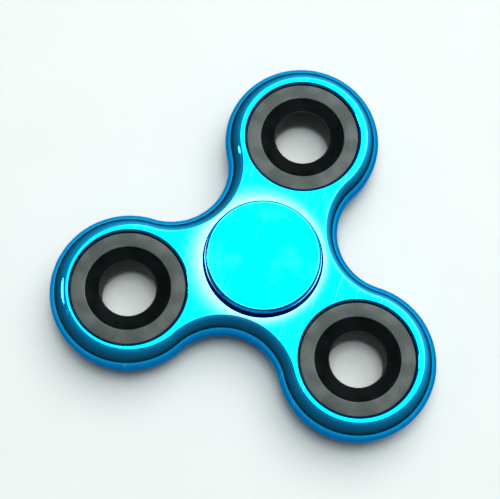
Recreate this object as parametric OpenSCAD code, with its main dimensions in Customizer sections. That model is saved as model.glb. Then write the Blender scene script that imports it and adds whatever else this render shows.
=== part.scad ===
// Three-armed fidget spinner: a rounded metal body that turns on a shielded ball bearing between
// two finger caps, with a ring weight in each arm. Everything is symmetrical about the mid plane
// of the body, except the screw that joins the two caps. One arm points along +Y.

/* [Body] */
// Thickness of the body
body_thickness = 8; // [6.6:0.2:12]
// Metal between the centre seat and each weight seat
arm_web = 4; // [3:0.25:9]
// Metal left outside each weight
lobe_wall = 4; // [3:0.25:7]
// Metal left outside the bearing at the waist between two arms
waist_wall = 4; // [3:0.25:6]
// Radius that rolls the outline over into both faces
edge_radius = 3.4; // [0.6:0.1:5]
// Radius that breaks the edges of the seats
seat_edge = 0.5; // [0.2:0.05:0.8]

/* [Weights] */
// Outside diameter of a weight
weight_diameter = 22; // [18:0.5:28]
// Thickness of a weight
weight_thickness = 7; // [5:0.25:9]
// Diameter of the open bore through a weight
weight_bore = 10.6; // [6:0.2:13]
// Width of the flat rim round each face of a weight
weight_rim = 2.85; // [1:0.05:3]
// Depth that each face of a weight is dished by at its bore
weight_dish = 0.4; // [0.2:0.05:1]

/* [Bearing] */
// Outside diameter of the bearing
bearing_diameter = 22; // [20:0.5:28]
// Diameter of the bearing's bore
bearing_bore = 8; // [6:0.5:9]
// Width of the bearing
bearing_width = 7; // [6.6:0.2:9]
// Diameter of a ball
ball_diameter = 3.969; // [3.2:0.001:4.8]
// Thickness of a shield
shield_thickness = 0.3; // [0.2:0.05:0.35]

/* [Caps] */
// Diameter of a finger cap
cap_diameter = 22; // [16:0.5:30]
// Thickness of a cap's disc
cap_thickness = 1.8; // [1.2:0.1:3]
// Radius that breaks the outer edge of a cap
cap_edge = 0.55; // [0.1:0.05:0.8]
// Air between a cap's disc and the body
cap_gap = 0.7; // [0.4:0.1:2]
// Diameter of the screw that joins the caps
screw_diameter = 5; // [3:0.25:5.5]
// Length of the screw
screw_length = 3.6; // [2.4:0.1:4]

/* [Fits] */
// Radial gap round a weight or the bearing in its seat
seat_fit = 0.01; // [0:0.01:0.05]
// Radial gap between a cap's stem and the bearing's bore
stem_fit = 0.03; // [0.01:0.01:0.1]
// Gap between a ball and each race
ball_play = 0.02; // [0.01:0.005:0.05]
// Gap between a ball and its pocket in the cage
pocket_play = 0.08; // [0.05:0.01:0.15]

/* [Hidden] */
$fn = 96;

arm_count = 3;
ball_count = 7;
cut = 1;               // how far a cutter runs past a face

// Plan of the body: lobes round the weights, joined by hollow arcs that run into them smoothly
weight_seat = weight_diameter / 2 + seat_fit;
centre_seat = bearing_diameter / 2 + seat_fit;
arm_length = weight_diameter / 2 + arm_web + bearing_diameter / 2;
lobe_radius = weight_diameter / 2 + lobe_wall;
waist_radius = bearing_diameter / 2 + waist_wall;
hollow_radius = (pow(arm_length, 2) + pow(waist_radius, 2) - arm_length * waist_radius - pow(lobe_radius, 2))
                / (arm_length + 2 * lobe_radius - 2 * waist_radius);
hollow_place = waist_radius + hollow_radius;
hollow_bite = 0.05;             // the hollows cut this far into the lobes, so that their walls cross
body_edge = min(edge_radius, body_thickness / 2 - 0.6, min(lobe_wall, waist_wall) - seat_edge - 0.1);

// Levels: the lower cap rests on z = 0
stack = max(body_thickness, bearing_width) / 2;
mid_z = stack + cap_gap + cap_thickness;
cap_low = stack + cap_gap;      // underside of the upper cap's disc, above the mid plane
cap_high = cap_low + cap_thickness;

// Bearing
pitch_radius = (bearing_diameter + bearing_bore) / 4;
ball_radius = ball_diameter / 2;
groove_radius = 0.52 * ball_diameter;
groove_depth = 0.55;            // how deep a ball sits in each race
inner_land = pitch_radius - ball_radius + groove_depth;
outer_land = pitch_radius + ball_radius - groove_depth;
inner_groove = pitch_radius - ball_radius - ball_play + groove_radius;
outer_groove = pitch_radius + ball_radius + ball_play - groove_radius;
race_chamfer = 0.25;
shield_ledge = 0.65;            // width of the step that a shield sits on
shield_clear = 0.25;            // gap between a shield and the inner race
shield_lap = 0.03;              // gap round a shield in its step
clip_inset = 0.08;              // how far a clip lies below the bearing's face
clip_thickness = 0.26;
clip_width = 0.6;
clip_groove = 0.3;              // how far the clip's groove is cut into the outer race
clip_play = 0.02;
clip_mouth = 26;                // angle left open in a clip
shield_out = bearing_width / 2 - clip_inset - clip_thickness - clip_play;
shield_in = shield_out - shield_thickness;
shield_seat = outer_land + shield_ledge;
cage_clear = 0.4;               // gap between the cage and the lands of both races
cage_web = 0.35;                // floor of the cage under a ball
cage_rise = 0.9;                // how far the cage reaches past the middle of the balls

// Caps
stem_radius = bearing_bore / 2 - stem_fit;
stem_gap = 0.1;                 // each stem stops this far short of the mid plane
boss_radius = inner_land - race_chamfer;
screw_radius = screw_diameter / 2;
screw_fit = 0.02;
screw_chamfer = 0.3;
cap_under_edge = 0.2;

// ---- outlines that several pieces share ----

// Half of a disc's section, with its rim rolled over by edge
module disc_section(radius, thickness, edge) {
  flat = radius - edge;
  level = thickness / 2 - edge;
  translate([0, -thickness / 2]) square([flat, thickness]);
  translate([0, -level]) square([radius, 2 * level]);
  for (side = [-1, 1]) translate([flat, side * level]) circle(r = edge);
}

// Half the section of a cutter that leaves a wall with both edges rolled over by edge
module waist_section(radius, thickness, edge) {
  level = thickness / 2 - edge;
  difference() {
    translate([0, -thickness / 2 - cut]) square([radius + edge, thickness + 2 * cut]);
    translate([radius, -level]) square([edge + cut, 2 * level]);
    for (side = [-1, 1]) translate([radius + edge, side * level]) circle(r = edge);
  }
}

module seat_cutter(radius) {
  rotate_extrude() waist_section(radius, body_thickness, seat_edge);
}

module at_arm(i) {
  rotate(90 + i * 360 / arm_count) translate([arm_length, 0, 0]) children();
}

module at_hollow(i) {
  rotate(30 + i * 360 / arm_count) translate([hollow_place, 0, 0]) children();
}

module mirrored_if(flip) {
  mirror([0, 0, flip ? 1 : 0]) children();
}

// ---- body ----

// The six-sided middle, whose corners are the centres of the lobes and of the hollows
module middle() {
  corners = [for (i = [0:2 * arm_count - 1])
             let (reach = i % 2 == 0 ? hollow_place : arm_length, turn = 30 + i * 60)
             reach * [cos(turn), sin(turn)]];
  translate([0, 0, -body_thickness / 2]) linear_extrude(body_thickness) polygon(corners);
}

module lobe() {
  rotate_extrude() disc_section(lobe_radius, body_thickness, body_edge);
}

module hollow() {
  rotate_extrude() waist_section(hollow_radius + hollow_bite, body_thickness, body_edge);
}

module body() {
  color("deepskyblue") translate([0, 0, mid_z]) difference() {
    union() {
      middle();
      for (i = [0:arm_count - 1]) at_arm(i) lobe();
    }
    for (i = [0:arm_count - 1]) at_hollow(i) hollow();
    seat_cutter(centre_seat);
    for (i = [0:arm_count - 1]) at_arm(i) seat_cutter(weight_seat);
  }
}

// ---- weights ----

module weight(i) {
  radius = weight_diameter / 2;
  bore = weight_bore / 2;
  rim = radius - weight_rim;
  half = weight_thickness / 2;
  chamfer = 0.25;
  lip = 0.15;            // small break at the mouth of the bore
  step = 0.1;            // drop from the flat rim into the dish
  face = [[bore, half - weight_dish - lip], [bore + lip, half - weight_dish], [rim - step, half - step],
          [rim, half], [radius - chamfer, half], [radius, half - chamfer]];
  below = [for (k = [len(face) - 1:-1:0]) [face[k][0], -face[k][1]]];
  color("dimgray") translate([0, 0, mid_z]) at_arm(i - 1)
    rotate_extrude() polygon(concat(face, below));
}

// ---- bearing ----

module outer_race() {
  half = bearing_width / 2;
  groove = clip_thickness + 2 * clip_play;
  color("silver") translate([0, 0, mid_z]) rotate_extrude() difference() {
    translate([outer_land, -half]) square([bearing_diameter / 2 - outer_land, bearing_width]);
    translate([outer_groove, 0]) circle(r = groove_radius);
    for (side = [-1, 1]) {
      translate([bearing_diameter / 2, side * half]) rotate(45)
        square(race_chamfer * sqrt(2), center = true);
      mirror([0, side < 0 ? 1 : 0]) {
        translate([outer_land - cut, shield_in]) square([shield_ledge + cut, half]);
        translate([outer_land - cut, shield_out]) square([shield_ledge + clip_groove + cut, groove]);
      }
    }
  }
}

module inner_race() {
  half = bearing_width / 2;
  bore = bearing_bore / 2;
  color("silver") translate([0, 0, mid_z]) rotate_extrude() difference() {
    translate([bore, -half]) square([inner_land - bore, bearing_width]);
    translate([inner_groove, 0]) circle(r = groove_radius);
    for (x = [bore, inner_land], side = [-1, 1])
      translate([x, side * half]) rotate(45) square(race_chamfer * sqrt(2), center = true);
  }
}

module at_ball(i) {
  rotate(90 + i * 360 / ball_count) translate([pitch_radius, 0, 0]) children();
}

module ball(i) {
  color("gainsboro") translate([0, 0, mid_z]) at_ball(i - 1) sphere(r = ball_radius);
}

// A crown: a ring with a floor under the balls and fingers between them
module cage() {
  low = -ball_radius - pocket_play - cage_web;
  inside = inner_land + cage_clear;
  color("saddlebrown") translate([0, 0, mid_z]) difference() {
    rotate_extrude() translate([inside, low])
      square([outer_land - cage_clear - inside, cage_rise - low]);
    for (i = [0:ball_count - 1]) at_ball(i) sphere(r = ball_radius + pocket_play);
  }
}

module shield(flip) {
  inside = inner_land + shield_clear;
  color("lightgray") translate([0, 0, mid_z]) mirrored_if(flip) rotate_extrude()
    translate([inside, shield_in]) square([shield_seat - shield_lap - inside, shield_thickness]);
}

// An open spring ring that holds a shield in the outer race
module clip(flip) {
  outside = shield_seat + clip_groove - 2 * clip_play;
  color("gray") translate([0, 0, mid_z]) mirrored_if(flip)
    rotate(clip_mouth / 2) rotate_extrude(angle = 360 - clip_mouth)
      translate([outside - clip_width, shield_out + clip_play]) square([clip_width, clip_thickness]);
}

// ---- caps ----

// Half a cap's section: disc, boss against the inner race, and stem in the bearing's bore
module cap_section() {
  radius = cap_diameter / 2;
  flat = radius - cap_edge;
  translate([0, cap_low]) square([flat, cap_thickness]);
  translate([0, cap_low + cap_under_edge]) square([radius, cap_thickness - cap_under_edge - cap_edge]);
  translate([flat, cap_high - cap_edge]) circle(r = cap_edge);
  polygon([[0, cap_low], [radius - cap_under_edge, cap_low], [radius, cap_low + cap_under_edge],
           [0, cap_low + cap_under_edge]]);
  translate([0, bearing_width / 2]) square([boss_radius, cap_low + cut / 2 - bearing_width / 2]);
  translate([0, stem_gap]) square([stem_radius, cap_low - stem_gap]);
}

module upper_cap() {
  socket = screw_length + stem_gap + 0.4;
  color("turquoise") translate([0, 0, mid_z]) difference() {
    rotate_extrude() cap_section();
    cylinder(r = screw_radius + screw_fit, h = socket);
  }
}

module lower_cap() {
  color("turquoise") translate([0, 0, mid_z]) {
    mirror([0, 0, 1]) rotate_extrude() cap_section();
    rotate_extrude() polygon([[0, -2 * stem_gap], [screw_radius, -2 * stem_gap],
      [screw_radius, screw_length - screw_chamfer], [screw_radius - screw_chamfer, screw_length],
      [0, screw_length]]);
  }
}

body();
for (i = [1:arm_count]) weight(i);
outer_race();
inner_race();
for (i = [1:ball_count]) ball(i);
cage();
shield(false);  // upper_shield
shield(true);  // lower_shield
clip(false);  // upper_clip
clip(true);  // lower_clip
upper_cap();
lower_cap();
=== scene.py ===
import math

import bmesh
import bpy
from mathutils import Matrix, Vector


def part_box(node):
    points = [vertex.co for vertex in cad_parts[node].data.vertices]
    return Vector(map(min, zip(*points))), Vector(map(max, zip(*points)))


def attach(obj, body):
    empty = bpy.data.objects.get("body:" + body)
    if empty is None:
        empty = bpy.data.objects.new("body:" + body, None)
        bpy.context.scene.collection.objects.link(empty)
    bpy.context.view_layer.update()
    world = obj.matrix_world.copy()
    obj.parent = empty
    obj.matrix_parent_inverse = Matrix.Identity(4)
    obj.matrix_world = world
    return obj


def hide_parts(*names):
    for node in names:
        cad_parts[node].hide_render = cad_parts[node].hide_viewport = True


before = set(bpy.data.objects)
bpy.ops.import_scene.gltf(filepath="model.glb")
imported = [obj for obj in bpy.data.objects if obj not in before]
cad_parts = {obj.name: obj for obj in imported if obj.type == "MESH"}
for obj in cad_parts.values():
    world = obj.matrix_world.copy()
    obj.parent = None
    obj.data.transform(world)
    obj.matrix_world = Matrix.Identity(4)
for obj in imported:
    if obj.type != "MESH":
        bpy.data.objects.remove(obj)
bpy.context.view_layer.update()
scene = bpy.context.scene
mm = 0.001
mergeWithin = 0.0005 * mm    # vertices closer than this are one vertex
cornerAngle = math.radians(32)    # edges sharper than this are shaded as corners
print("frame loaded:", len(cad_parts), "nodes")


# The CAD meshes are faceted, so sizes read from them are rounded to a hundredth of a millimetre
def sizeOf(value):
    return round(value, 5)


bodyLow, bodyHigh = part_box("body")
weightLow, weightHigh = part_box("weight_1")
raceLow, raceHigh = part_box("outer_race")
innerLow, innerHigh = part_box("inner_race")
capLow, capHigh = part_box("upper_cap")
midZ = sizeOf((bodyLow.z + bodyHigh.z) / 2)
halfBody = sizeOf((bodyHigh.z - bodyLow.z) / 2)
armLength = sizeOf((weightLow.y + weightHigh.y) / 2)
weightRadius = sizeOf((weightHigh.y - weightLow.y) / 2)
halfWeight = sizeOf((weightHigh.z - weightLow.z) / 2)
lobeRadius = sizeOf(bodyHigh.y - armLength)
raceRadius = sizeOf((raceHigh.x - raceLow.x) / 2)
halfRace = sizeOf((raceHigh.z - raceLow.z) / 2)
innerLand = sizeOf((innerHigh.x - innerLow.x) / 2)
capRadius = sizeOf((capHigh.x - capLow.x) / 2)
capTop = sizeOf(capHigh.z - midZ)
armTurns = [math.radians(90 + 120 * i) for i in range(3)]


def along(turn, reach, z=0.0):
    return Vector((reach * math.cos(turn), reach * math.sin(turn), z))


cameraView = {
    "distance": 268.1 * mm,    # from the middle of the body's upper face
    "elevation": 73.6,
    "azimuth": 13.8,
    "roll": 3.75,
    "right": 2.46 * mm,        # how far the view's middle lies from the spin axis
    "up": -1.73 * mm,
    "lens": 102.2,
    "sensor": 36.0,
    "near": 0.01,
    "far": 20.0,
}


def placeCamera():
    data = bpy.data.cameras.new("viewCamera")
    data.lens, data.sensor_width = cameraView["lens"], cameraView["sensor"]
    data.sensor_fit = "HORIZONTAL"
    data.clip_start, data.clip_end = cameraView["near"], cameraView["far"]
    a, e, r = (math.radians(cameraView[k]) for k in ("azimuth", "elevation", "roll"))
    back = Vector((math.sin(a) * math.cos(e), -math.cos(a) * math.cos(e), math.sin(e)))
    level = Vector((math.cos(a), math.sin(a), 0))
    upright = back.cross(level)
    right = level * math.cos(r) + upright * math.sin(r)
    up = upright * math.cos(r) - level * math.sin(r)
    place = Vector((0, 0, bodyHigh.z)) + back * cameraView["distance"]
    place -= right * cameraView["right"] + up * cameraView["up"]
    camera = bpy.data.objects.new("viewCamera", data)
    camera.matrix_world = Matrix.Translation(place) @ Matrix((right, up, back)).transposed().to_4x4()
    scene.collection.objects.link(camera)
    scene.camera = camera
    print("camera placed", round(cameraView["distance"] / mm), "mm away")


studio = {
    "lightDistance": 0.60,     # every lamp hangs this far from the object
    "boxSize": 0.60,           # overhead soft box
    "boxRadiance": 3.5,
    "boxLean": Vector((0.10, 0.46, 1.0)),     # where it hangs, seen from the object
    "fillSize": 0.26,          # plain fill from straight above, which mirrors don't show
    "fillRadiance": 12.0,
    "fillLean": Vector((0, 0, 1)),
    "lampSize": 0.10,          # small lamp on the left, which only mirrors show
    "lampRadiance": 22.0,
    "lampLean": Vector((-0.56, 0.04, 0.82)),
    "roomLean": Vector((0.20, 0.75, 1.0)),    # where the room is brightest
    "horizonFade": (0.05, 0.50, 0.30, 1.0),   # height from, height to, strength from, strength to
    "underLight": (0.70, 0.74, 0.73),         # what the room sends from below the horizon
    "backdrop": (0.84, 0.90, 0.89),           # what the camera sees past the floor
}

# What the room sends from each direction, by the cosine of its angle from the brightest one
roomLight = [
    (0.00, (0.13, 0.13, 0.13)),
    (0.20, (0.16, 0.16, 0.17)),
    (0.42, (0.19, 0.20, 0.21)),
    (0.60, (0.27, 0.28, 0.29)),
    (0.76, (0.45, 0.46, 0.47)),
    (0.90, (0.85, 0.85, 0.85)),
    (1.00, (1.10, 1.10, 1.10)),
]


# Adds nodes to one tree and wires them: a value is a number, a colour or another node's output
class NodeDesk:
    def __init__(self, tree):
        self.tree, self.nodes, self.links = tree, tree.nodes, tree.links

    def add(self, kind, values=None, **settings):
        node = self.nodes.new(kind)
        for key, value in settings.items():
            setattr(node, key, value)
        for key, value in (values or {}).items():
            self.feed(node.inputs[key], value)
        return node

    def feed(self, socket, value):
        if isinstance(value, bpy.types.NodeSocket):
            self.links.new(value, socket)
        else:
            socket.default_value = value

    def math(self, operation, a, b=0.0, clamp=False):
        node = self.add("ShaderNodeMath", {0: a, 1: b}, operation=operation, use_clamp=clamp)
        return node.outputs[0]

    def ramp(self, value, low, high, lowOut=0.0, highOut=1.0):
        node = self.add("ShaderNodeMapRange", {"Value": value, "From Min": low, "From Max": high,
                                               "To Min": lowOut, "To Max": highOut},
                        interpolation_type="SMOOTHSTEP")
        return node.outputs["Result"]

    def noise(self, vector, scale, detail=2.0, roughness=0.5):
        node = self.add("ShaderNodeTexNoise", {"Vector": vector, "Scale": scale, "Detail": detail,
                                               "Roughness": roughness})
        return node.outputs["Fac"]

    def blend(self, mask, first, second):
        node = self.add("ShaderNodeMix", data_type="RGBA")
        self.feed(node.inputs[0], mask)
        self.feed(node.inputs[6], first)
        self.feed(node.inputs[7], second)
        return node.outputs[2]

    def mixShaders(self, mask, first, second):
        return self.add("ShaderNodeMixShader", {0: mask, 1: first, 2: second}).outputs[0]

    def split(self, vector, axis):
        return self.add("ShaderNodeSeparateXYZ", {0: vector}).outputs[axis]

    def awayFrom(self, value, middle):
        return self.math("ABSOLUTE", self.math("SUBTRACT", value, middle))

    def place(self, centre=(0, 0, 0)):
        coord = self.add("ShaderNodeTexCoord")
        return self.add("ShaderNodeMapping", {"Vector": coord.outputs["Object"],
                                              "Location": -Vector(centre)}).outputs[0]


def addDiskLight(name, lean, size, radiance):
    data = bpy.data.lights.new(name, "AREA")
    data.shape, data.size = "DISK", size
    data.energy = radiance * math.pi * math.pi * (size / 2) ** 2
    light = bpy.data.objects.new(name, data)
    aim = lean.normalized()
    turned = aim.to_track_quat("Z", "Y").to_matrix().to_4x4()
    light.matrix_world = Matrix.Translation(aim * studio["lightDistance"]) @ turned
    light.visible_camera = False
    scene.collection.objects.link(light)
    return light


# The room is brightest high up at the back, darker towards the horizon, and plain to the camera
def addRoom():
    world = bpy.data.worlds.new("room")
    scene.world = world
    world.use_nodes = True
    world.node_tree.nodes.clear()
    desk = NodeDesk(world.node_tree)
    towards = desk.add("ShaderNodeTexCoord").outputs["Generated"]
    lean = desk.add("ShaderNodeVectorMath", {0: towards, 1: studio["roomLean"].normalized()},
                    operation="DOT_PRODUCT")
    bands = desk.add("ShaderNodeValToRGB", {"Fac": lean.outputs["Value"]})
    stops = bands.color_ramp.elements
    while len(stops) < len(roomLight):
        stops.new(0.5)
    for stop, (cosine, color) in zip(stops, roomLight):
        stop.position, stop.color = cosine, (*color, 1)
    height = desk.split(towards, "Z")
    strength = desk.ramp(height, *studio["horizonFade"])
    upper = desk.add("ShaderNodeBackground", {"Color": bands.outputs["Color"], "Strength": strength})
    lower = desk.add("ShaderNodeBackground", {"Color": (*studio["underLight"], 1)})
    plain = desk.add("ShaderNodeBackground", {"Color": (*studio["backdrop"], 1)})
    sunk = desk.math("LESS_THAN", height, 0.0)
    whole = desk.mixShaders(sunk, upper.outputs[0], lower.outputs[0])
    seen = desk.add("ShaderNodeLightPath").outputs["Is Camera Ray"]
    desk.add("ShaderNodeOutputWorld", {"Surface": desk.mixShaders(seen, whole, plain.outputs[0])})


def newGroup(name, inputs, outputs):
    tree = bpy.data.node_groups.new(name, "ShaderNodeTree")
    for label, kind, value in inputs:
        socket = tree.interface.new_socket(name=label, in_out="INPUT", socket_type=kind)
        if value is not None:
            socket.default_value = value
    for label in outputs:
        tree.interface.new_socket(name=label, in_out="OUTPUT", socket_type="NodeSocketFloat")
    desk = NodeDesk(tree)
    return tree, desk, desk.add("NodeGroupInput").outputs, desk.add("NodeGroupOutput").inputs


# Patches where fingers have touched a bright surface
def makeHandlingMarks():
    tree, desk, given, result = newGroup(
        "handlingMarks",
        [("Vector", "NodeSocketVector", None), ("Size", "NodeSocketFloat", 150.0)],
        ["Smudge"])
    patch = desk.ramp(desk.noise(given["Vector"], given["Size"], 3.0), 0.48, 0.72)
    ridgeSize = desk.math("MULTIPLY", given["Size"], 14.0)
    ridge = desk.ramp(desk.noise(given["Vector"], ridgeSize, 2.0), 0.35, 0.65, 0.35, 1.0)
    desk.feed(result["Smudge"], desk.math("MULTIPLY", patch, ridge))
    return tree


# Sparse straight hairlines in three directions, broken into short lengths
def makeHairlines():
    tree, desk, given, result = newGroup(
        "hairlines",
        [("Vector", "NodeSocketVector", None), ("Fineness", "NodeSocketFloat", 1.0),
         ("Amount", "NodeSocketFloat", 0.5)],
        ["Scratch"])
    found = None
    for turn, shift in ((0.35, 0.0), (1.25, 3.1), (2.45, 7.7)):
        lay = {"Vector": given["Vector"], "Rotation": (0, 0, turn)}
        long = desk.add("ShaderNodeMapping", {**lay, "Location": (shift, shift, 0),
                                              "Scale": (8000, 60, 60)})
        gaps = desk.add("ShaderNodeMapping", {**lay, "Location": (shift, 0, shift),
                                              "Scale": (420, 110, 110)})
        line = desk.ramp(desk.noise(long.outputs[0], given["Fineness"], 0.0), 0.72, 0.80)
        gate = desk.ramp(desk.noise(gaps.outputs[0], 1.0, 1.0), 0.54, 0.64)
        one = desk.math("MULTIPLY", line, gate)
        found = one if found is None else desk.math("MAXIMUM", found, one)
    desk.feed(result["Scratch"], desk.math("MULTIPLY", found, given["Amount"]))
    return tree


# Fine rings round the local Z axis, as a lathe leaves them
def makeTurnedLines():
    tree, desk, given, result = newGroup(
        "turnedLines",
        [("Vector", "NodeSocketVector", None), ("Pitch", "NodeSocketFloat", 0.0001)],
        ["Line", "Radius"])
    flat = desk.add("ShaderNodeVectorMath", {0: given["Vector"], 1: (1, 1, 0)}, operation="MULTIPLY")
    length = desk.add("ShaderNodeVectorMath", {0: flat.outputs[0]}, operation="LENGTH")
    radius = length.outputs["Value"]
    across = desk.math("DIVIDE", radius, given["Pitch"])
    rings = desk.add("ShaderNodeTexNoise", {"W": across, "Scale": 1.0, "Detail": 2.0},
                     noise_dimensions="1D")
    desk.feed(result["Line"], rings.outputs["Fac"])
    desk.feed(result["Radius"], radius)
    return tree


# Fine grain, and broader blotches of dust or dullness
def makeSurfaceGrain():
    tree, desk, given, result = newGroup(
        "surfaceGrain",
        [("Vector", "NodeSocketVector", None), ("Size", "NodeSocketFloat", 4000.0)],
        ["Grain", "Blotch"])
    desk.feed(result["Grain"], desk.noise(given["Vector"], given["Size"], 3.0, 0.6))
    blotch = desk.noise(given["Vector"], desk.math("MULTIPLY", given["Size"], 0.06), 3.0)
    desk.feed(result["Blotch"], desk.ramp(blotch, 0.35, 0.65))
    return tree


effects = {"marks": makeHandlingMarks(), "hairlines": makeHairlines(), "turned": makeTurnedLines(),
           "grain": makeSurfaceGrain()}
print("shader groups:", ", ".join(tree.name for tree in effects.values()))


# A material with its constants set on the shader's own sockets
def newMaterial(name, **constants):
    material = bpy.data.materials.new(name)
    material.use_nodes = True
    desk = NodeDesk(material.node_tree)
    shader = material.node_tree.nodes["Principled BSDF"]
    labels = {"metallic": "Metallic", "edgeTint": "Specular Tint", "ior": "IOR",
              "subsurface": "Subsurface Weight"}
    for key, value in constants.items():
        shader.inputs[labels[key]].default_value = value
    return material, desk, shader


def useEffect(desk, key, **values):
    node = desk.add("ShaderNodeGroup", node_tree=effects[key])
    for label, value in values.items():
        desk.feed(node.inputs[label], value)
    return node.outputs


def addBump(desk, shader, height, strength, depth):
    bump = desk.add("ShaderNodeBump", {"Height": height, "Strength": strength, "Distance": depth})
    desk.feed(shader.inputs["Normal"], bump.outputs[0])


plating = {
    "thin": (0.001, 0.44, 0.92, 1),      # where the tinted plating is thinner
    "thick": (0.0, 0.38, 0.88, 1),
    "layerSize": 60.0,                   # noise scales count per metre
    "paintedHubSheen": (0.165, 0.60, 0.97, 1),    # painted sheen: a pale ring round the hub that stands for the light's bright reflection there
    "paintedHubSheenFrom": 11.0 * mm,
    "paintedHubSheenFade": (2.15 * mm, 1.0 * mm),   # how fast it fades, on the -X side and on the +X side
    "paintedHubSheenSpan": 14 * mm,               # how far out the two sides reach
    "scratched": (0.06, 0.50, 1.0, 1),
    "scratches": 0.7,
    "rolled": (0.018, 0.45, 0.90, 1),    # painted sheen: a paler tint on the roll at the faces' edge, where it mirrors the lights
    "rolledHeight": (3.88 * mm, 3.99 * mm),    # from the middle plane: roll below, face above
    "side": (0.0, 0.165, 0.42, 1),       # deeper on the sides, which face away from the light
    "sideHeight": (1.8 * mm, 3.6 * mm),  # all side below the first, none above the second
    "edgeTint": (0.25, 0.55, 0.85, 1),   # keeps grazing reflections from going white
    "roughness": 0.045,
    "smudged": 0.075,
    "scratchRough": 0.2,
    "smudgeSize": 160.0,
    "waveSize": 130.0,                   # how uneven the cast surface under the plating is
    "waveDepth": 0.02 * mm,
    "waveBump": 0.35,
}


def makePlatedCasting():
    material, desk, shader = newMaterial("platedCasting", metallic=1.0, edgeTint=plating["edgeTint"])
    place = desk.place()
    smudge = useEffect(desk, "marks", Vector=place, Size=plating["smudgeSize"])["Smudge"]
    scratch = useEffect(desk, "hairlines", Vector=place, Amount=plating["scratches"])["Scratch"]
    fromHub = useEffect(desk, "turned", Vector=place)["Radius"]
    layer = desk.ramp(desk.noise(place, plating["layerSize"]), 0.35, 0.65)
    color = desk.blend(layer, plating["thick"], plating["thin"])

    # Painted sheen: a pale ring round the hub, which fades out faster on the +X side
    span = plating["paintedHubSheenSpan"]
    fade = desk.ramp(desk.split(place, "X"), -span, span, *plating["paintedHubSheenFade"])
    past = desk.math("DIVIDE", desk.math("SUBTRACT", fromHub, plating["paintedHubSheenFrom"]), fade)
    hubSheenMask = desk.math("EXPONENT", desk.math("MULTIPLY", desk.math("POWER", past, 2.0), -1.0))
    color = desk.blend(hubSheenMask, color, plating["paintedHubSheen"])

    height = desk.awayFrom(desk.split(place, "Z"), midZ)
    # Painted sheen: a paler band on the roll just below each face
    color = desk.blend(desk.ramp(height, *plating["rolledHeight"]), plating["rolled"], color)
    color = desk.blend(desk.ramp(height, *plating["sideHeight"]), plating["side"], color)
    desk.feed(shader.inputs["Base Color"], desk.blend(scratch, color, plating["scratched"]))
    rough = desk.ramp(smudge, 0.0, 1.0, plating["roughness"], plating["smudged"])
    scratchRough = desk.math("MULTIPLY", scratch, plating["scratchRough"])
    desk.feed(shader.inputs["Roughness"], desk.math("ADD", rough, scratchRough))
    wave = desk.noise(place, plating["waveSize"], 1.0)
    addBump(desk, shader, wave, plating["waveBump"], plating["waveDepth"])
    return material


fingerCap = {
    "thickness": 1.8 * mm,
    "edge": 0.52 * mm,         # round at the face's rim
    "edgeSteps": 10,
    "shelf": 0.05 * mm,        # narrow flat strip that keeps the shading of the face flat
    "step": 0.07 * mm,         # fine step turned into the wall
    "stepBelow": 1.1 * mm,
    "underEdge": 0.2 * mm,
    "stemFit": 0.03 * mm,
    "stemGap": 0.1 * mm,
    "bossInset": 0.25 * mm,
    "bearingBore": 4.0 * mm,
    "screw": 2.5 * mm,
    "screwFit": 0.02 * mm,
    "screwLength": 3.6 * mm,
    "screwEnd": 0.3 * mm,
    "screwSpare": 0.4 * mm,    # how much deeper the threaded hole is than the screw
    "round": 160,
}

capPlating = {
    "face": (0.0, 0.44, 0.92, 1),
    "marked": (0.006, 0.48, 0.94, 1),
    "markSize": 210.0,
    "scratches": 0.12,
    "scratchFineness": 1.3,
    "scratchRough": 0.15,
    "paintedEdgeGlint": (0.38, 0.58, 0.78, 1),   # painted highlight: a pale line on the step and the face's rim
    "paintedRimGlint": 0.12,
    "paintedGlintWidth": 0.09 * mm,
    "glintPatchSize": 500.0,
    "roughness": 0.09,
    "smudged": 0.17,
    "ringPitch": 0.12 * mm,
    "ringDepth": 0.002 * mm,
    "ringBump": 0.05,
}


def makePlatedCap():
    finish = capPlating
    material, desk, shader = newMaterial("platedCap", metallic=1.0, edgeTint=plating["edgeTint"])
    place = desk.place()
    smudge = useEffect(desk, "marks", Vector=place, Size=finish["markSize"])["Smudge"]
    scratch = useEffect(desk, "hairlines", Vector=place, Fineness=finish["scratchFineness"],
                        Amount=finish["scratches"])["Scratch"]
    rings = useEffect(desk, "turned", Vector=place, Pitch=finish["ringPitch"])
    color = desk.blend(smudge, finish["face"], finish["marked"])

    height = desk.awayFrom(desk.split(place, "Z"), midZ)
    # Painted highlight: pale lines along the step and the face's rim, broken into patches
    offStep = desk.awayFrom(height, capTop - fingerCap["stepBelow"])
    offRim = desk.awayFrom(rings["Radius"], capRadius - fingerCap["step"] - fingerCap["edge"])
    wide = finish["paintedGlintWidth"]
    paintedGlint = desk.math("MAXIMUM", desk.ramp(offStep, wide * 0.6, wide, 1.0, 0.0),
                     desk.ramp(offRim, 0.0, wide, finish["paintedRimGlint"], 0.0))
    patches = desk.ramp(desk.noise(place, finish["glintPatchSize"]), 0.35, 0.60, 0.45, 1.0)
    color = desk.blend(desk.math("MULTIPLY", paintedGlint, patches), color, finish["paintedEdgeGlint"])
    desk.feed(shader.inputs["Base Color"], desk.blend(scratch, color, plating["scratched"]))
    rough = desk.ramp(smudge, 0.0, 1.0, finish["roughness"], finish["smudged"])
    scratchRough = desk.math("MULTIPLY", scratch, finish["scratchRough"])
    desk.feed(shader.inputs["Roughness"], desk.math("ADD", rough, scratchRough))
    addBump(desk, shader, rings["Line"], finish["ringBump"], finish["ringDepth"])
    return material


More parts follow.
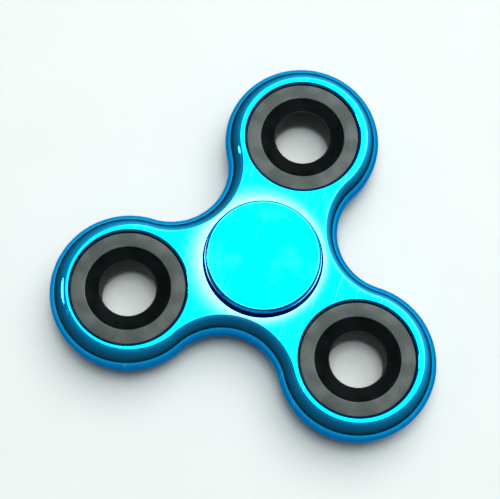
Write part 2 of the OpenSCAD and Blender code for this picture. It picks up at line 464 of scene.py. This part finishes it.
weightFinish = {
    "rim": (0.043, 0.053, 0.050, 1),
    "rimWorn": (0.088, 0.100, 0.098, 1),
    "rimRadius": (8.05 * mm, 8.15 * mm),     # dish inside the first, rim outside the second
    "dish": (0.0030, 0.0040, 0.0043, 1),
    "dishDusty": (0.0060, 0.0075, 0.0080, 1),
    # Painted highlight: a pale colour on the edges at the radii below
    "paintedEdgeGlint": (0.20, 0.22, 0.215, 1),
    "paintedGlintAt": (5.40 * mm, 8.12 * mm),        # radii of the edges that get a painted highlight
    "paintedGlintWidth": 0.10 * mm,
    "rimRough": 0.42,
    "dishRough": 0.55,
    "grainRough": 0.12,
    "grainSize": 3500.0,
    "ringPitch": 0.16 * mm,
    "grainHeight": 0.5,
    "turnedBump": 0.25,
    "turnedDepth": 0.01 * mm,
}


def makeWeightSteel(name, turn):
    finish = weightFinish
    material, desk, shader = newMaterial(name, metallic=1.0)
    place = desk.place(along(turn, armLength))
    rings = useEffect(desk, "turned", Vector=place, Pitch=finish["ringPitch"])
    grain = useEffect(desk, "grain", Vector=place, Size=finish["grainSize"])
    onRim = desk.ramp(rings["Radius"], *finish["rimRadius"])
    polish = desk.math("MULTIPLY", rings["Line"], grain["Blotch"])
    rim = desk.blend(polish, finish["rim"], finish["rimWorn"])
    dish = desk.blend(grain["Blotch"], finish["dish"], finish["dishDusty"])
    color = desk.blend(onRim, dish, rim)
    # Painted highlight along the bore's edge and the rim's inner edge
    for edge in finish["paintedGlintAt"]:
        near = desk.ramp(desk.awayFrom(rings["Radius"], edge), 0.0, finish["paintedGlintWidth"], 1.0, 0.0)
        color = desk.blend(desk.math("MULTIPLY", near, grain["Grain"]), color, finish["paintedEdgeGlint"])
    desk.feed(shader.inputs["Base Color"], color)
    rough = desk.ramp(onRim, 0.0, 1.0, finish["dishRough"], finish["rimRough"])
    grainRough = desk.math("MULTIPLY", grain["Grain"], finish["grainRough"])
    desk.feed(shader.inputs["Roughness"], desk.math("ADD", rough, grainRough))
    grainHeight = desk.math("MULTIPLY", grain["Grain"], finish["grainHeight"])
    surface = desk.math("ADD", rings["Line"], grainHeight)
    addBump(desk, shader, surface, finish["turnedBump"], finish["turnedDepth"])
    return material


bareMetals = {
    "raceSteel": {"clean": (0.60, 0.61, 0.62, 1), "dull": (0.50, 0.51, 0.53, 1), "roughness": 0.16},
    "ballSteel": {"clean": (0.72, 0.73, 0.74, 1), "dull": (0.66, 0.67, 0.69, 1), "roughness": 0.05},
    "shieldTin": {"clean": (0.58, 0.59, 0.60, 1), "dull": (0.48, 0.49, 0.50, 1), "roughness": 0.24},
    "springSteel": {"clean": (0.34, 0.35, 0.37, 1), "dull": (0.26, 0.27, 0.29, 1), "roughness": 0.28},
}
bareMetalGrain = {
    "size": 5000.0,
    "rough": 0.10,
    "ringPitch": 0.1 * mm,
    "ringDepth": 0.004 * mm,
    "ringBump": 0.15,
}


def makeBareMetal(name):
    metal, texture = bareMetals[name], bareMetalGrain
    material, desk, shader = newMaterial(name, metallic=1.0)
    place = desk.place()
    rings = useEffect(desk, "turned", Vector=place, Pitch=texture["ringPitch"])
    grain = useEffect(desk, "grain", Vector=place, Size=texture["size"])
    desk.feed(shader.inputs["Base Color"], desk.blend(grain["Blotch"], metal["clean"], metal["dull"]))
    grainRough = desk.math("MULTIPLY", grain["Grain"], texture["rough"])
    desk.feed(shader.inputs["Roughness"], desk.math("ADD", grainRough, metal["roughness"]))
    addBump(desk, shader, rings["Line"], texture["ringBump"], texture["ringDepth"])
    return material


nylon = {
    "clean": (0.30, 0.16, 0.055, 1),
    "dull": (0.36, 0.20, 0.075, 1),
    "roughness": (0.38, 0.55),
    "grainSize": 6000.0,
    "grainDepth": 0.01 * mm,
    "grainBump": 0.2,
}


def makeNylon():
    material, desk, shader = newMaterial("cageNylon", subsurface=0.1, ior=1.53)
    grain = useEffect(desk, "grain", Vector=desk.place(), Size=nylon["grainSize"])
    desk.feed(shader.inputs["Base Color"], desk.blend(grain["Blotch"], nylon["clean"], nylon["dull"]))
    desk.feed(shader.inputs["Roughness"], desk.ramp(grain["Grain"], 0.3, 0.7, *nylon["roughness"]))
    addBump(desk, shader, grain["Grain"], nylon["grainBump"], nylon["grainDepth"])
    return material


floorFinish = {
    "color": (0.571, 0.614, 0.600, 1),
    "blotched": (0.562, 0.605, 0.591, 1),
    "roughness": (0.75, 0.85),
    "grainSize": 900.0,
    "reach": 0.9,
    "fade": (0.225, 0.855),    # how far out it starts and ends fading, for the camera
    "drop": 0.02 * mm,         # keeps it just clear of the face that rests on it
    "touch": 0.08 * mm,        # a mirror nearer than this looks through it
}


# The floor fades into the backdrop far out. A view from below looks through it, and so does a
# mirror that rests on it.
def makeFloorPaint():
    finish = floorFinish
    material, desk, shader = newMaterial("floorPaint")
    place = desk.place()
    grain = useEffect(desk, "grain", Vector=place, Size=finish["grainSize"])
    reach = useEffect(desk, "turned", Vector=place)["Radius"]
    desk.feed(shader.inputs["Base Color"], desk.blend(grain["Blotch"], finish["blotched"], finish["color"]))
    desk.feed(shader.inputs["Roughness"], desk.ramp(grain["Grain"], 0.3, 0.7, *finish["roughness"]))
    path = desk.add("ShaderNodeLightPath").outputs
    far = desk.math("MULTIPLY", desk.ramp(reach, *finish["fade"]), path["Is Camera Ray"])
    under = desk.add("ShaderNodeNewGeometry").outputs["Backfacing"]
    near = desk.math("LESS_THAN", path["Ray Length"], finish["touch"])
    near = desk.math("MULTIPLY", near, path["Is Glossy Ray"])
    gone = desk.math("MAXIMUM", desk.math("MAXIMUM", far, under), near)
    clear = desk.add("ShaderNodeBsdfTransparent")
    output = material.node_tree.nodes["Material Output"]
    desk.feed(output.inputs["Surface"], desk.mixShaders(gone, shader.outputs[0], clear.outputs[0]))
    return material


# Draws a line of vertices in the XZ plane. A move is (x, z) for a straight run, or
# (centreX, centreZ, angle, steps) for a round one.
def drawProfile(bm, start, moves):
    last = bm.verts.new((start[0], 0, start[1]))
    for move in moves:
        if len(move) == 2:
            vert = bm.verts.new((move[0], 0, move[1]))
            bm.edges.new((last, vert))
            last = vert
        else:
            swung = bmesh.ops.spin(bm, geom=[last], cent=(move[0], 0, move[1]), axis=(0, 1, 0),
                                   dvec=(0, 0, 0), angle=math.radians(move[2]), steps=move[3])
            last = next(g for g in swung["geom_last"] if isinstance(g, bmesh.types.BMVert))


# Sweeps part of a way round the Z axis and returns the far end
def sweepRound(bm, geom, centre, angle, steps):
    return bmesh.ops.spin(bm, geom=geom, cent=centre, axis=(0, 0, 1), dvec=(0, 0, 0), angle=angle,
                          steps=steps, use_merge=False)["geom_last"]


# Turns everything in the bmesh the whole way round
def turnRound(bm, centre, steps):
    bmesh.ops.spin(bm, geom=list(bm.verts) + list(bm.edges), cent=centre, axis=(0, 0, 1),
                   dvec=(0, 0, 0), angle=math.tau, steps=steps, use_merge=True)


# Makes the bmesh an object that stands for a CAD node. Rounds are shaded smooth and corners aren't.
def finishPiece(bm, name, material, body, node):
    bmesh.ops.remove_doubles(bm, verts=bm.verts, dist=mergeWithin)
    bmesh.ops.recalc_face_normals(bm, faces=bm.faces)
    for face in bm.faces:
        face.smooth = True
    for edge in bm.edges:
        edge.smooth = len(edge.link_faces) == 2 and edge.calc_face_angle(0) < cornerAngle
    openEdges = sum(1 for edge in bm.edges if not edge.is_manifold)
    mesh = bpy.data.meshes.new(name)
    bm.to_mesh(mesh)
    bm.free()
    mesh.materials.append(material)
    piece = bpy.data.objects.new(name, mesh)
    scene.collection.objects.link(piece)
    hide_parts(node)
    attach(piece, body)
    print("made", name, len(mesh.polygons), "faces,", openEdges, "open edges")


bodyCast = {
    "roll": 3.4 * mm,          # radius that rolls the outline over into both faces
    "rollSteps": 16,
    "waistWall": 4.0 * mm,
    "seatFit": 0.01 * mm,
    "seatEdge": 0.5 * mm,
    "seatSteps": 8,
    "shelf": 0.03 * mm,        # narrow flat strip that keeps the shading of the faces flat
    "lobeSteps": 144,
    "hollowSteps": 60,
    "seatRound": 144,
}


# A wall in section, from one face to the other: outward is 1 for a rim and -1 for a seat
def drawWall(bm, radius, edge, steps, outward):
    inner = radius - outward * edge
    level = halfBody - edge
    shelf = inner - outward * bodyCast["shelf"]
    drawProfile(bm, (shelf, halfBody), [
        (inner, halfBody), (inner, level, 90 * outward, steps), (radius, -level),
        (inner, -level, 90 * outward, steps), (shelf, -halfBody)])


# Puts a finished bmesh into another one
def addMesh(bm, part):
    mesh = bpy.data.meshes.new("part")
    part.to_mesh(mesh)
    part.free()
    bm.from_mesh(mesh)
    bpy.data.meshes.remove(mesh)


def seatWall(radius, centre):
    part = bmesh.new()
    drawWall(part, radius + bodyCast["seatFit"], bodyCast["seatEdge"], bodyCast["seatSteps"], -1)
    bmesh.ops.translate(part, vec=centre, verts=part.verts)
    turnRound(part, centre, bodyCast["seatRound"])
    return part


# A third of the outline is one lobe and the hollow after it: it's swept once and copied round twice
def makeBody(material):
    waist = raceRadius + bodyCast["waistWall"]
    hollow = ((armLength ** 2 + waist ** 2 - armLength * waist - lobeRadius ** 2)
              / (armLength + 2 * lobeRadius - 2 * waist))
    hollowPlace = waist + hollow
    sixth = math.radians(60)
    lobeHalf = math.atan2(hollowPlace * math.sin(sixth), hollowPlace * math.cos(sixth) - armLength)
    hollowHalf = math.atan2(armLength * math.sin(sixth), hollowPlace - armLength * math.cos(sixth))

    bm = bmesh.new()
    drawWall(bm, lobeRadius, bodyCast["roll"], bodyCast["rollSteps"], 1)
    turn = armTurns[0]
    first = Matrix.Translation(along(turn, armLength)) @ Matrix.Rotation(turn - lobeHalf, 4, "Z")
    bmesh.ops.transform(bm, matrix=first, verts=bm.verts)
    edge = list(bm.verts) + list(bm.edges)
    edge = sweepRound(bm, edge, along(turn, armLength), 2 * lobeHalf, bodyCast["lobeSteps"])
    sweepRound(bm, edge, along(turn + sixth, hollowPlace), -2 * hollowHalf, bodyCast["hollowSteps"])
    addMesh(bm, seatWall(weightRadius, along(turn, armLength)))
    third = list(bm.verts) + list(bm.edges) + list(bm.faces)
    for copy in (1, 2):
        copied = bmesh.ops.duplicate(bm, geom=third)["geom"]
        bmesh.ops.rotate(bm, cent=(0, 0, 0), matrix=Matrix.Rotation(2 * sixth * copy, 3, "Z"),
                         verts=[g for g in copied if isinstance(g, bmesh.types.BMVert)])
    addMesh(bm, seatWall(raceRadius, Vector()))
    bmesh.ops.remove_doubles(bm, verts=bm.verts, dist=mergeWithin)

    for side in (1, -1):
        rim = [e for e in bm.edges if e.is_boundary
               and all(abs(v.co.z - side * halfBody) < mergeWithin for v in e.verts)]
        bmesh.ops.triangle_fill(bm, edges=rim, use_beauty=True, normal=(0, 0, side))
    bmesh.ops.translate(bm, vec=(0, 0, midZ), verts=bm.verts)
    finishPiece(bm, "bodyCasting", material, "rotor", "body")


weightRing = {
    "bore": 5.3 * mm,
    "rim": 2.85 * mm,          # width of the flat rim
    "dish": 0.4 * mm,
    "step": 0.1 * mm,          # slope down from the rim to the dish
    "lip": 0.15 * mm,          # chamfer round the bore
    "chamfer": 0.25 * mm,
    "edge": 0.06 * mm,         # small round that every corner gets
    "edgeSteps": 3,
    "round": 144,
}


# Turns a closed outline of (x, z) corners into a ring about the Z axis, with its corners rounded
def turnRing(bm, corners, centre):
    verts = [bm.verts.new((x, 0, z)) for x, z in corners]
    for pair in zip(verts, verts[1:] + verts[:1]):
        bm.edges.new(pair)
    bmesh.ops.bevel(bm, geom=verts, offset=weightRing["edge"], offset_type="OFFSET",
                    segments=weightRing["edgeSteps"], profile=0.5, affect="VERTICES", material=-1,
                    clamp_overlap=True)
    bmesh.ops.translate(bm, vec=centre, verts=bm.verts)
    turnRound(bm, centre, weightRing["round"])


def makeWeight(number, turn, material):
    w = weightRing
    rimIn = weightRadius - w["rim"]
    dishTop = halfWeight - w["dish"]
    face = [(w["bore"], dishTop - w["lip"]), (w["bore"] + w["lip"], dishTop),
            (rimIn - w["step"], halfWeight - w["step"]), (rimIn, halfWeight),
            (weightRadius - w["chamfer"], halfWeight), (weightRadius, halfWeight - w["chamfer"])]
    back = [(x, -z) for x, z in reversed(face)]
    bm = bmesh.new()
    turnRing(bm, face + back, along(turn, armLength, midZ))
    finishPiece(bm, f"weightRing{number}", material, "rotor", f"weight_{number}")


# The upper cap's stem is bored for the screw, which is part of the lower cap
def makeCap(name, node, upper, material):
    c = fingerCap
    under = capTop - c["thickness"]
    boss, stem = innerLand - c["bossInset"], c["bearingBore"] - c["stemFit"]
    wall = capRadius - c["step"]
    flat = wall - c["edge"]
    stepTop = capTop - c["stepBelow"]
    bm = bmesh.new()
    drawProfile(bm, (0, capTop), [
        (flat - c["shelf"], capTop), (flat, capTop), (flat, capTop - c["edge"], 90, c["edgeSteps"]),
        (wall, stepTop), (capRadius, stepTop), (capRadius, under + c["underEdge"]),
        (capRadius - c["underEdge"], under), (boss, under),
        (boss, halfRace), (stem, halfRace), (stem, c["stemGap"])])
    if upper:
        hole, depth = c["screw"] + c["screwFit"], c["screwLength"] + c["stemGap"] + c["screwSpare"]
        tail = [(hole, c["stemGap"]), (hole, depth), (0, depth)]
    else:
        end = -c["screwLength"]
        tail = [(c["screw"], c["stemGap"]), (c["screw"], end + c["screwEnd"]),
                (c["screw"] - c["screwEnd"], end), (0, end)]
    drawProfile(bm, (stem, c["stemGap"]), tail)
    bmesh.ops.remove_doubles(bm, verts=bm.verts, dist=mergeWithin)
    turnRound(bm, Vector(), c["round"])
    if not upper:
        bmesh.ops.transform(bm, matrix=Matrix.Scale(-1, 4, (0, 0, 1)), verts=bm.verts)
    bmesh.ops.translate(bm, vec=(0, 0, midZ), verts=bm.verts)
    finishPiece(bm, name, material, "hub", node)


# What each kind of bearing part is made of, by a word in its node's name
bearingFinish = {"race": "raceSteel", "ball": "ballSteel", "shield": "shieldTin",
                 "clip": "springSteel", "cage": "cageNylon"}


def dressBearing():
    finishes = {name: makeBareMetal(name) for name in bareMetals}
    finishes["cageNylon"] = makeNylon()
    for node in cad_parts:
        for word, finish in bearingFinish.items():
            if word in node.split("_"):
                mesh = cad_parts[node].data
                mesh.materials.clear()
                mesh.materials.append(finishes[finish])
    print("bearing dressed in", ", ".join(finishes))


def addFloor():
    bm = bmesh.new()
    bmesh.ops.create_grid(bm, x_segments=1, y_segments=1, size=floorFinish["reach"])
    bmesh.ops.translate(bm, vec=(0, 0, -floorFinish["drop"]), verts=bm.verts)
    mesh = bpy.data.meshes.new("floor")
    bm.to_mesh(mesh)
    bm.free()
    mesh.materials.append(makeFloorPaint())
    floor = bpy.data.objects.new("floor", mesh)
    scene.collection.objects.link(floor)


placeCamera()
addDiskLight("softBox", studio["boxLean"], studio["boxSize"], studio["boxRadiance"])
fill = addDiskLight("fill", studio["fillLean"], studio["fillSize"], studio["fillRadiance"])
fill.visible_glossy = False
lamp = addDiskLight("lamp", studio["lampLean"], studio["lampSize"], studio["lampRadiance"])
lamp.visible_diffuse = False
addRoom()
addFloor()
print("studio lit")

makeBody(makePlatedCasting())
for i, turn in enumerate(armTurns, 1):
    makeWeight(i, turn, makeWeightSteel(f"weightSteel{i}", turn))
capMaterial = makePlatedCap()
makeCap("upperFingerCap", "upper_cap", True, capMaterial)
makeCap("lowerFingerCap", "lower_cap", False, capMaterial)
dressBearing()

scene.view_settings.view_transform = "Standard"
